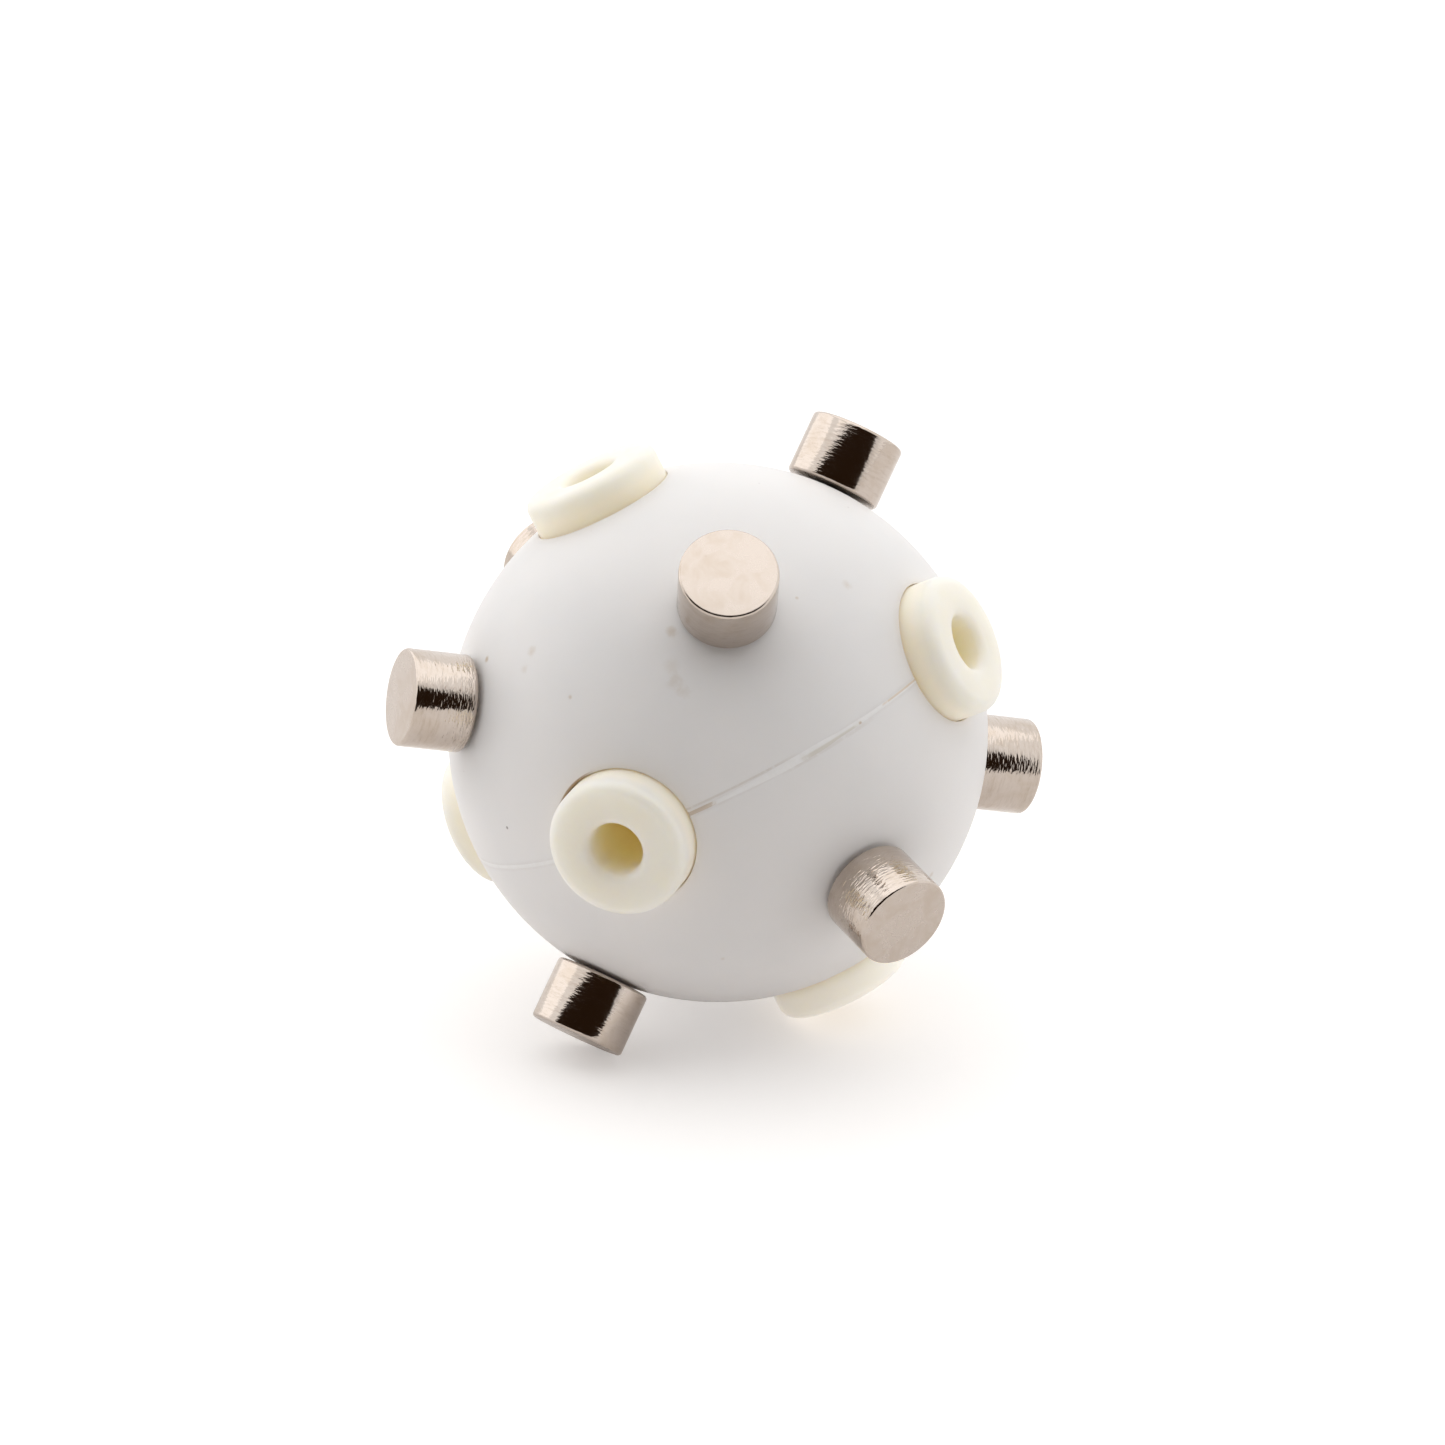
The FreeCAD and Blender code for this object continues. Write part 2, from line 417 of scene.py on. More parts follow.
@dataclass(frozen=True)
class WhiteBallPlastic(Finish):
    """Satin white moulded plastic with handling marks, specks, dirt along the glued seam and a painted amber
    shade in the gap at the front arm's hole.
    """

    title: str = "white_ball_plastic"
    clean: Colour = (0.830, 0.810, 0.795)
    cool: Colour = (0.800, 0.785, 0.775)
    brown: Colour = (0.46, 0.31, 0.15)
    speck: Colour = (0.12, 0.08, 0.06)
    # painted shade: the amber colour of the shadowed gap round the front post
    painted_gap_shade: Colour = (0.30, 0.17, 0.05)
    line: Colour = (0.48, 0.39, 0.30)
    roughness: float = 0.42
    ball_radius: float = 12.5
    smudges: tuple[Smudge, ...] = (
        Smudge(Corner.A, 9.25, 2.75, 0.30, 0.42),
        Smudge(Corner.A, 8.5, 3.75, 0.40, 0.16),
        Smudge(Corner.A, 8.25, 4.25, 0.42, 0.24),
        Smudge(Corner.A, 8.0, 4.5, 0.34, 0.20),
        Smudge(Corner.A, 3.75, 3.25, 0.09, 0.45),
        Smudge(Corner.A, 3.5, 6.0, 0.24, 0.32),
        Smudge(Corner.C, 1.25, 2.75, 0.17, 0.80),
        Smudge(Corner.C, 2.0, 5.75, 0.26, 0.34),
        Smudge(Corner.C, 2.25, 5.25, 0.24, 0.22),
        Smudge(Corner.C, 2.75, 8.0, 0.12, 0.55),
        Smudge(Corner.B, 4.25, 4.75, 0.20, 0.35),
        Smudge(Corner.B, 8.5, 7.5, 0.13, 0.35),
    )

    def paint(self, bench: NodeBench) -> None:
        """Build the white plastic with its marks, specks, seam dirt and painted shade at the front hole."""
        point = bench.maker_point()
        cloud = bench.noise(point, 0.16, 3.0, 0.5)
        colour = bench.blend(cloud.rise(0.35, 0.7), self.clean, self.cool)
        rough_edge = bench.noise(point, 2.2, 4.0, 0.65, 0.6)
        dirt: Term = 0.0
        for smudge in self.smudges:
            away = bench.distance(point, smudge.middle(self.ball_radius)) / smudge.reach
            dirt = (away + (rough_edge - 0.5) * 1.8).rise(1.30, 0.0) * smudge.depth + dirt
        colour = bench.blend(dirt.least(1.0) * 0.75, colour, self.brown)
        dots = bench.specks(point, 0.50, 0.050, 0.22).most(bench.specks(point, 1.1, 0.08, 0.04))
        colour = bench.blend(dots * 0.65, colour, self.speck)
        # painted shade: an amber crescent where the gap between the front post and its hole lies in shadow
        colour = bench.blend(self.front_hole_painted_shade(bench, point) * 0.85, colour, self.painted_gap_shade)
        seam = self.seam_dirt(bench, point, rough_edge)
        colour = bench.blend(seam, colour, self.line)
        grain = bench.noise(point, 5.5, 3.0, 0.6)
        waves = bench.noise(point, 0.35, 2.0, 0.4)
        relief = bench.bump(grain, 0.00001, 0.35, bench.bump(waves, 0.0002, 0.10))
        bench.surface({
            "Base Color": colour,
            "Roughness": (self.roughness + (cloud - 0.5) * 0.10 + dirt * 0.15).least(0.9),
            "IOR": 1.49,
            "Specular IOR Level": 0.45,
            "Subsurface Weight": 0.12,
            "Subsurface Radius": (0.0012, 0.0010, 0.0008),
            "Subsurface Scale": 0.5,
            "Normal": relief,
        })

    def seam_dirt(self, bench: NodeBench, point: Signal, rough_edge: Signal) -> Signal:
        """Dirt that sits along the edge of each half, mostly between the front and the right arm.

        Args:
            bench: The material's node bench.
            point: The place on the piece.
            rough_edge: Noise that frays the dirt.

        Returns:
            The mask of the dirt.
        """
        height = bench.axis(point, "Z")
        front_right = (bench.axis(point, "X") - bench.axis(point, "Y")).rise(11.0, 15.0)
        towards_right = bench.axis(point, "X") + bench.axis(point, "Y")
        strip = abs(height).rise(0.26, 0.16) * rough_edge.rise(0.20, 0.60)
        upper_line = abs(height - 0.25).rise(0.08, 0.02) * towards_right.rise(-0.5, -3.5) * 0.30
        lower_line = abs(height + 0.25).rise(0.10, 0.03) * abs(towards_right - 1.0).rise(4.0, 2.5) * 0.14
        return strip * 0.07 + front_right * (upper_line + lower_line) * rough_edge.rise(0.30, 0.50)

    def front_hole_painted_shade(self, bench: NodeBench, point: Signal) -> Signal:
        """The painted shade of the gap between the front post and its hole: an amber crescent at the upper
        left of the front arm's hole.

        Args:
            bench: The material's node bench.
            point: The place on the piece.

        Returns:
            The mask of the painted shade crescent.
        """
        side, height = bench.axis(point, "X"), bench.axis(point, "Z")
        shifted = (side + 0.05) * (side + 0.05) + (height - 0.08) * (height - 0.08)
        crescent = (shifted ** 0.5).rise(3.35, 3.27) * bench.axis(point, "Y").rise(-11.0, -11.5)
        return crescent * (height - side * 0.8).rise(3.2, 4.0)


@dataclass(frozen=True)
class IvorySpiderPlastic(Finish):
    """Ivory plastic, with a painted yellow tone down the bores and on the posts' sides that stands for light
    passing through the plastic.

    Its emission stands for light that the plastic lets through and, on the bottom post, for light
    from the table.
    """

    title: str = "ivory_spider_plastic"
    face: Colour = (0.930, 0.865, 0.760)
    # painted light: the bore colour stands for light passing through the plastic, not for the plastic's own
    # tint
    painted_bore_light: Colour = (0.975, 0.910, 0.660)
    # painted light: the side colour is a yellower copy of the face colour, standing for light passing through
    # the posts' sides
    side: Colour = (0.950, 0.880, 0.740)
    bore_glow: Colour = (0.062, 0.038, 0.009)
    side_glow: Colour = (0.105, 0.070, 0.032)
    table_glow: Colour = (0.200, 0.190, 0.175)
    cloudy: Colour = (0.97, 0.96, 0.92)
    bore_radius: float = 1.25
    post_reach: float = 13.7

    def paint(self, bench: NodeBench) -> None:
        """Build the ivory plastic with its painted through-light tones in the bores and on the post sides,
        and the light let through.
        """
        point = bench.maker_point()
        side, back, up = (abs(bench.axis(point, letter)) for letter in "XYZ")
        along = side.most(back).most(up)
        reach = bench.vector_maths("LENGTH", point, output="Value")
        from_axis = (reach * reach - along * along).most(0.0) ** 0.5
        in_bore = from_axis.rise(self.bore_radius + 0.12, self.bore_radius + 0.02)
        depth = (self.post_reach - along).rise(0.1, 3.0)
        painted_side_light = (self.post_reach - along).rise(0.3, 1.6) * from_axis.rise(3.0, 3.2)
        cloud = bench.noise(point, 0.5, 3.0, 0.5)
        # painted light: the yellower tone on the post sides and down the bores stands for light through the
        # plastic
        colour = bench.blend(painted_side_light * 0.8, self.face, self.side)
        colour = bench.blend(in_bore * depth, colour, self.painted_bore_light)
        colour = bench.tint(cloud.rise(0.4, 0.75) * 0.5, colour, self.cloudy)
        in_the_open = (self.post_reach - along).rise(1.9, 1.55) * 0.50 + 0.50
        let_through = bench.blend(painted_side_light * in_the_open, (0.0, 0.0, 0.0), self.side_glow)
        by_table = bench.axis(point, "Z").rise(-11.8, -12.6)
        let_through = bench.blend(by_table, let_through, self.table_glow)
        let_through = bench.blend(in_bore * depth, let_through, self.bore_glow)
        grain = bench.noise(point, 4.0, 3.0, 0.6)
        flow = bench.noise(point, 0.4, 2.0, 0.5)
        relief = bench.bump(grain, 0.00001, 0.4, bench.bump(flow, 0.0002, 0.12))
        bench.surface({
            "Base Color": colour,
            "Roughness": 0.36 + (cloud - 0.5) * 0.16,
            "IOR": 1.5,
            "Subsurface Weight": 0.9,
            "Subsurface Radius": (0.0030, 0.0027, 0.0020),
            "Subsurface Scale": 1.0,
            "Emission Color": let_through,
            "Emission Strength": 1.0,
            "Normal": relief,
        })


@dataclass(frozen=True)
class NickelPlate(Finish):
    """Warm nickel plating with grinding lines round the side and faint stains on the faces."""

    title: str = "nickel_plate"
    bright: Colour = (0.600, 0.525, 0.465)
    warm: Colour = (0.555, 0.470, 0.395)
    stain: Colour = (0.44, 0.34, 0.27)
    line_shade: Colour = (0.80, 0.76, 0.72)
    line_stretch: Triple = (1.3, 1.3, 7.0)
    grind_stretch: Triple = (3.0, 3.0, 10.0)
    roughness: float = 0.09

    def paint(self, bench: NodeBench) -> None:
        """Build the plating with its grinding lines and stains."""
        point = bench.maker_point()
        number = bench.own_number()
        across = bench.vector_maths("LENGTH", bench.stretch(point, (1.0, 1.0, 0.0)), output="Value")
        side = across.rise(2.10, 2.22)
        lines = bench.noise(bench.stretch(point, self.line_stretch), 1.0, 5.0, 0.70, 0.0, number)
        grind = bench.noise(bench.stretch(point, self.grind_stretch), 1.0, 1.0, 0.5, 0.0, number)
        rougher = number.rise(COARSE_NUMBER - 10.0, COARSE_NUMBER)
        marks = bench.noise(point, 0.9, 4.0, 0.6, 0.8, number)
        pits = bench.noise(point, 3.5, 4.0, 0.6, 0.0, number)
        colour = bench.blend(marks.rise(0.42, 0.68) * 0.8, self.bright, self.warm)
        colour = bench.blend((1.0 - side) * pits.rise(0.66, 0.76) * 0.30, colour, self.stain)
        colour = bench.tint(side * lines.rise(0.45, 0.70) * 0.55, colour, self.line_shade)
        rough = self.roughness + side * (lines - 0.45) * 0.30 + (1.0 - side) * (marks * 0.10 + 0.14)
        height = side * grind * (0.28 + rougher * 0.32) + (1.0 - side) * pits * 0.12
        bench.surface({
            "Base Color": colour,
            "Metallic": 1.0,
            "Roughness": rough.most(0.07).least(0.6),
            "Normal": bench.bump(height, 0.00005, 0.70),
        })


@dataclass(frozen=True)
class DriedGlue(Finish):
    """Dried glue and flash in the seam: nearly as white as the ball, grey and brown in places."""

    title: str = "dried_glue"
    clear: Colour = (0.870, 0.860, 0.850)
    olive: Colour = (0.640, 0.600, 0.530)
    brown: Colour = (0.55, 0.43, 0.32)
    orange: Colour = (0.66, 0.50, 0.34)
    cloudy: Colour = (0.95, 0.94, 0.92)
    speck_place: float = 3.5

    def paint(self, bench: NodeBench) -> None:
        """Build the glue with its grey, brown and orange stretches."""
        point = bench.maker_point()
        height = bench.axis(point, "Z")
        towards_right = bench.axis(point, "X") + bench.axis(point, "Y")
        fine = bench.noise(point, 4.0, 3.0, 0.6)
        frayed = towards_right + (fine - 0.5) * 1.5
        colour = bench.tint(fine.rise(0.35, 0.7) * 0.5, self.clear, self.cloudy)
        below = height.rise(0.05, -0.06)
        colour = bench.blend(below * abs(frayed - 1.2).rise(2.6, 1.6) * 0.75, colour, self.olive)
        end_speck = abs(towards_right - self.speck_place).rise(0.16, 0.04) * below
        front_right = bench.axis(point, "X") - bench.axis(point, "Y")
        by_front_arm = frayed.rise(-6.8, -7.6) * front_right.rise(10.0, 12.0)
        colour = bench.blend((by_front_arm * 0.75).most(end_speck * 0.8), colour, self.brown)
        by_right_arm = abs(height - 0.03).rise(0.07, 0.02) * frayed.rise(5.4, 6.2)
        colour = bench.blend(by_right_arm * 0.6, colour, self.orange)
        bench.surface({
            "Base Color": colour,
            "Roughness": 0.35 + fine * 0.2,
            "Normal": bench.bump(fine, 0.00002, 0.4),
        })


@dataclass(frozen=True)
class PaleTable(Finish):
    """The plain white table, which looks brighter than the light that it throws up at the core."""

    title: str = "pale_table"
    white: Colour = (0.79, 0.775, 0.765)
    cloudy: Colour = (0.77, 0.755, 0.745)
    upward: Colour = (0.44, 0.42, 0.41)
    seen: Colour = (1.0, 0.985, 0.975)
    glow: float = 0.35

    def paint(self, bench: NodeBench) -> None:
        """Build the table's even white."""
        place = bench.node("ShaderNodeTexCoord", output="Object")
        cloud = bench.noise(place, 30.0, 2.0, 0.5)
        colour = bench.blend(cloud, self.white, self.cloudy)
        lit = bench.node("ShaderNodeLightPath", output="Is Camera Ray")
        glow = bench.blend(lit, self.upward, self.seen)
        bench.surface({"Base Color": colour, "Roughness": 0.7, "Specular IOR Level": 0.2,
                       "Emission Color": glow, "Emission Strength": self.glow})


# ---------------------------------------------------------------- mesh work


def round_over(work: bmesh.types.BMesh, edges: Sequence[bmesh.types.BMEdge], by: float, steps: int) -> None:
    """Round edges by a width, with a number of flats."""
    bmesh.ops.bevel(work, geom=list(edges), offset=by, offset_type="OFFSET", segments=steps, profile=0.5,
                    affect="EDGES", material=-1, clamp_overlap=True)


def turned(profile: Sequence[tuple[float, float]], steps: int = 96) -> bmesh.types.BMesh:
    """Turn a profile round the z axis into a closed solid, as on a lathe.

    Args:
        profile: Points as (distance from the axis, height), whose first and last lie on the axis.
        steps: Number of steps round the axis.

    Returns:
        The mesh.
    """
    work = bmesh.new()
    points = [work.verts.new((away, 0.0, height)) for away, height in profile]
    edges = [work.edges.new(pair) for pair in zip(points, points[1:])]
    bmesh.ops.spin(work, geom=points + edges, cent=(0, 0, 0), axis=(0, 0, 1), angle=2 * math.pi, steps=steps,
                   use_merge=True, use_duplicate=False)
    bmesh.ops.remove_doubles(work, verts=work.verts, dist=1e-5)
    bmesh.ops.recalc_face_normals(work, faces=work.faces)
    return work


def ring_edges(work: bmesh.types.BMesh, away: float, height: float) -> list[bmesh.types.BMEdge]:
    """Find the edges of one ring of a turned solid.

    Args:
        work: The turned mesh.
        away: The ring's distance from the axis.
        height: The ring's height.

    Returns:
        The ring's edges.
    """
    def on_ring(vert: bmesh.types.BMVert) -> bool:
        """Whether a vertex lies on the ring."""
        return abs(vert.co.xy.length - away) < 1e-3 and abs(vert.co.z - height) < 1e-3

    return [edge for edge in work.edges if on_ring(edge.verts[0]) and on_ring(edge.verts[1])]


def along(direction: Vector) -> Matrix:
    """The turn that takes the z axis to a direction."""
    return direction.to_track_quat("Z", "Y").to_matrix().to_4x4()


def moved(work: bmesh.types.BMesh, matrix: Matrix) -> bmesh.types.BMesh:
    """Move a whole mesh and hand it back."""
    bmesh.ops.transform(work, matrix=matrix, verts=work.verts)
    return work


def loose_object(name: str, work: bmesh.types.BMesh) -> bpy.types.Object:
    """Turn a mesh being worked on into an object of the scene.

    Args:
        name: The object's name.
        work: The mesh, which is freed.

    Returns:
        The object.
    """
    mesh = bpy.data.meshes.new(name)
    work.to_mesh(mesh)
    work.free()
    made = bpy.data.objects.new(name, mesh)
    bpy.context.scene.collection.objects.link(made)
    return made


def settled_mesh(made: bpy.types.Object) -> bpy.types.Mesh:
    """The mesh of an object with its modifiers worked in."""
    graph = bpy.context.evaluated_depsgraph_get()
    return bpy.data.meshes.new_from_object(made.evaluated_get(graph), preserve_all_data_layers=True,
                                           depsgraph=graph)


def combined(base: bmesh.types.BMesh, tools: Iterable[bmesh.types.BMesh], how: Joining) -> bmesh.types.BMesh:
    """Add solids to a solid, or cut them out of it.

    Args:
        base: The solid to change, which is freed.
        tools: The solids to add or cut, which are freed.
        how: Add or cut.

    Returns:
        The changed solid.
    """
    main_object = loose_object("work_main", base)
    helpers = [loose_object("work_tool", tool) for tool in tools]
    for helper in helpers:
        change = main_object.modifiers.new("work", "BOOLEAN")
        change.operation, change.solver, change.object = how.value, "EXACT", helper
    result = bmesh.new()
    result.from_mesh(settled_mesh(main_object))
    for spent in [main_object, *helpers]:
        bpy.data.objects.remove(spent)
    return result


@dataclass
class Piece:
    """One visible piece: its mesh in maker's millimetres and everything said about it.

    Attributes:
        name: The object's name.
        work: The mesh, in the maker's millimetres.
        place: From those millimetres to the frame.
        body: The body it moves with.
        finish: Its material.
        slot: The record's slot that the finish belongs to; not used here.
        stands_for: The CAD nodes that it replaces.
        number: A number of its own, for patterns that differ from piece to piece.
        crease: The angle past which an edge stays sharp, in degrees.
    """

    name: str
    work: bmesh.types.BMesh
    place: Matrix
    body: str
    finish: bpy.types.Material
    slot: Slot
    stands_for: tuple[str, ...] = ()
    number: float = 0.0
    crease: float = 50.0

    def put(self) -> bpy.types.Object:
        """Make the object, place it on the frame and report it.

        Returns:
            The object.
        """
        made = loose_object(self.name, self.work)
        mesh = made.data
        marks = mesh.attributes.new(MAKER_POINT, "FLOAT_VECTOR", "POINT")
        marks.data.foreach_set("vector", [value for vert in mesh.vertices for value in vert.co])
        numbers = mesh.attributes.new(OWN_NUMBER, "FLOAT", "POINT")
        numbers.data.foreach_set("value", [self.number] * len(mesh.vertices))
        mesh.transform(self.place)
        mesh.shade_smooth()
        mesh.set_sharp_from_angle(angle=math.radians(self.crease))
        even = made.modifiers.new("even_normals", "WEIGHTED_NORMAL")
        even.keep_sharp, even.weight = True, 60
        made.data = settled_mesh(made)
        made.modifiers.clear()
        made.data.materials.clear()
        made.data.materials.append(self.finish)
        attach(made, self.body)
        if self.stands_for:
            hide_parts(*self.stands_for)
        self.report(made)
        return made

    def report(self, made: bpy.types.Object) -> None:
        """Log the piece's size and how far its box is from its CAD solid's.

        Args:
            made: The finished object.
        """
        faces = len(made.data.polygons)
        corners = [vert.co for vert in made.data.vertices]
        low = Vector([min(corner[i] for corner in corners) for i in range(3)])
        high = Vector([max(corner[i] for corner in corners) for i in range(3)])
        if not self.stands_for:
            log.info("%s: %d faces, on %s", self.name, faces, self.body)
            return
        cad_low, cad_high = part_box(self.stands_for[0])
        off = max(abs(value) for value in (*(low - cad_low), *(high - cad_high))) / MILLIMETRE
        log.info("%s: %d faces, on %s, box within %.3f mm of %s", self.name, faces, self.body, off,
                 self.stands_for[0])


# ---------------------------------------------------------------- the ball's two halves


@dataclass
class HalfShell:
    """One half of the hollow ball: a dome with post holes, a lipped rim and four magnet pockets.

    The dome is made with its rim at z = 0 and its top arm hole upwards.

    Attributes:
        name: Name of the piece and of its CAD node.
        facing: The turn that takes the dome to its half.
        rim_step: Height of the inner part of the rim: below zero for a lip, above zero for its recess.
        rim_radius: Radius at which the rim steps.
    """

    name: str
    facing: Matrix
    rim_step: float
    rim_radius: float
    radius: float = 12.5
    wall: float = 1.2
    hole_radius: float = 3.29
    hole_relief: float = 0.25
    edge_round: float = 0.10
    cells: int = 56
    hole_cells: int = 9
    level_span: float = 3.0
    pocket_radius: float = 2.30
    pocket_wall: float = 0.70
    pocket_floor: float = 11.65
    pocket_depth: float = 3.02
    layer_name: str = "cube_point"

    def dome(self) -> bmesh.types.BMesh:
        """Make the hollow dome without its pockets.

        Returns:
            The mesh.
        """
        work = bmesh.new()
        bmesh.ops.create_cube(work, size=2.0)
        bmesh.ops.subdivide_edges(work, edges=work.edges, cuts=self.cells - 1, use_grid_fill=True)
        hole_half = self.hole_cells / (self.cells / 2)
        spare = [face for face in work.faces if face.calc_center_median().z < 0.0
                 or self.nearest_square(face.calc_center_median()) < hole_half]
        bmesh.ops.delete(work, geom=spare, context="FACES")
        layer = work.verts.layers.float_vector.new(self.layer_name)
        for vert in work.verts:
            vert[layer] = vert.co
        rims = [edge for edge in work.edges if edge.is_boundary]
        copied = bmesh.ops.duplicate(work, geom=work.verts[:] + work.edges[:] + work.faces[:])["geom"]
        inner_faces = [item for item in copied if isinstance(item, bmesh.types.BMFace)]
        inner_verts = [item for item in copied if isinstance(item, bmesh.types.BMVert)]
        bmesh.ops.reverse_faces(work, faces=inner_faces)
        self.set_down(set(work.verts) - set(inner_verts), layer, self.outside)
        self.set_down(inner_verts, layer, self.inside)
        outer_rims = rims
        for rule in (self.at_step, self.below_step, self.inside):
            grown = bmesh.ops.extrude_edge_only(work, edges=rims)["geom"]
            rims = [item for item in grown if isinstance(item, bmesh.types.BMEdge)]
            self.set_down([item for item in grown if isinstance(item, bmesh.types.BMVert)], layer, rule)
        bmesh.ops.remove_doubles(work, verts=work.verts, dist=1e-4)
        bmesh.ops.recalc_face_normals(work, faces=work.faces)
        round_over(work, [edge for edge in outer_rims if edge.is_valid], self.edge_round, 2)
        return work

    def nearest_square(self, point: Vector) -> float:
        """How far a point of the cube lies from the middle of its side, as half the side of its square."""
        return sorted(abs(value) for value in point)[1]

    def set_down(self, verts: Iterable[bmesh.types.BMVert], layer: Any,
                 rule: Callable[[Vector], Vector]) -> None:
        """Move vertices to where a rule puts the cube points that the layer holds."""
        for vert in verts:
            vert.co = rule(vert[layer])

    def on_sphere(self, cube_point: Vector, radius: float, hole: float) -> Vector:
        """Take a point of the cube to a sphere, so that the square round each arm becomes its hole.

        Args:
            cube_point: A point of the cube with corners at 1.
            radius: The sphere's radius.
            hole: The hole's radius.

        Returns:
            The point on the sphere.
        """
        arm = max(range(3), key=lambda index: abs(cube_point[index]))
        first, second = (arm + 1) % 3, (arm + 2) % 3
        along_first, along_second = cube_point[first], cube_point[second]
        square = max(abs(along_first), abs(along_second))
        hole_square = self.hole_cells / (self.cells / 2)
        share = (square - hole_square) / (1.0 - hole_square)
        if abs(along_first) >= abs(along_second):
            side = math.pi / 4 * along_second / along_first
            turn = side + (math.pi if along_first < 0 else 0.0)
        else:
            side = math.pi / 4 * along_first / along_second
            turn = math.pi / 2 - side + (math.pi if along_second < 0 else 0.0)
        hole_angle = math.asin(hole / radius)
        edge_angle = math.atan(1.0 / math.cos(side))
        angle = hole_angle + share * (edge_angle - hole_angle)
        placed = Vector((0.0, 0.0, 0.0))
        placed[arm] = math.copysign(math.cos(angle), cube_point[arm])
        placed[first] = math.sin(angle) * math.cos(turn)
        placed[second] = math.sin(angle) * math.sin(turn)
        return placed * radius

    def levelled(self, point: Vector, radius: float) -> Vector:
        """Move the rows near the rim so that the last one lies at the rim's step.

        Args:
            point: A point of the dome.
            radius: Its distance from the ball's centre.

        Returns:
            The moved point.
        """
        if point.z >= self.level_span:
            return point
        level = self.rim_step + point.z * (1.0 - self.rim_step / self.level_span)
        reach = math.sqrt(radius ** 2 - max(level, 0.0) ** 2)
        flat = point.xy.normalized() * reach
        return Vector((flat.x, flat.y, level))

    def outside(self, cube_point: Vector) -> Vector:
        """The outer skin."""
        return self.on_sphere(cube_point, self.radius, self.hole_radius)

    def inside(self, cube_point: Vector) -> Vector:
        """The inner skin, with its rim at the step."""
        radius = self.radius - self.wall
        return self.levelled(self.on_sphere(cube_point, radius, self.hole_radius + self.hole_relief), radius)

    def at_step(self, cube_point: Vector) -> Vector:
        """The rim where its step begins."""
        return self.on_sphere(cube_point, self.rim_radius, self.hole_radius)

    def below_step(self, cube_point: Vector) -> Vector:
        """The rim where its step ends, and part of the way down each hole."""
        in_hole = (self.rim_radius + self.radius - self.wall) / 2
        radius = self.rim_radius if abs(cube_point.z) < 1e-6 else in_hole
        return self.levelled(self.on_sphere(cube_point, radius, self.hole_radius), radius)

    def pocket_solids(self, radius: float, low: float, high: float) -> list[bmesh.types.BMesh]:
        """Cylinders on the four corner directions of this dome.

        Args:
            radius: Their radius.
            low: Distance of the near end from the ball's centre.
            high: Distance of the far end.

        Returns:
            The four solids.
        """
        corners = [corner.direction for corner in Corner if corner.value[2] > 0]
        return [moved(turned([(0, low), (radius, low), (radius, high), (0, high)], 64), along(corner))
                for corner in corners]

    def put(self, place: CorePlace, finish: bpy.types.Material) -> bpy.types.Object:
        """Make the whole half and put it on the frame.

        Args:
            place: The core's place.
            finish: The ball's plastic.

        Returns:
            The object.
        """
        low = self.pocket_floor - self.pocket_depth
        bosses = self.pocket_solids(self.pocket_radius + self.pocket_wall, low, self.pocket_floor + 0.2)
        pockets = self.pocket_solids(self.pocket_radius, low - 0.5, self.pocket_floor)
        solid = combined(combined(self.dome(), bosses, Joining.ADD), pockets, Joining.CUT)
        half = Piece(self.name + "_dressed", moved(solid, self.facing), place.matrix, Body.BALL.value, finish,
                     Slot.BALL_PLASTIC, (self.name,))
        return half.put()


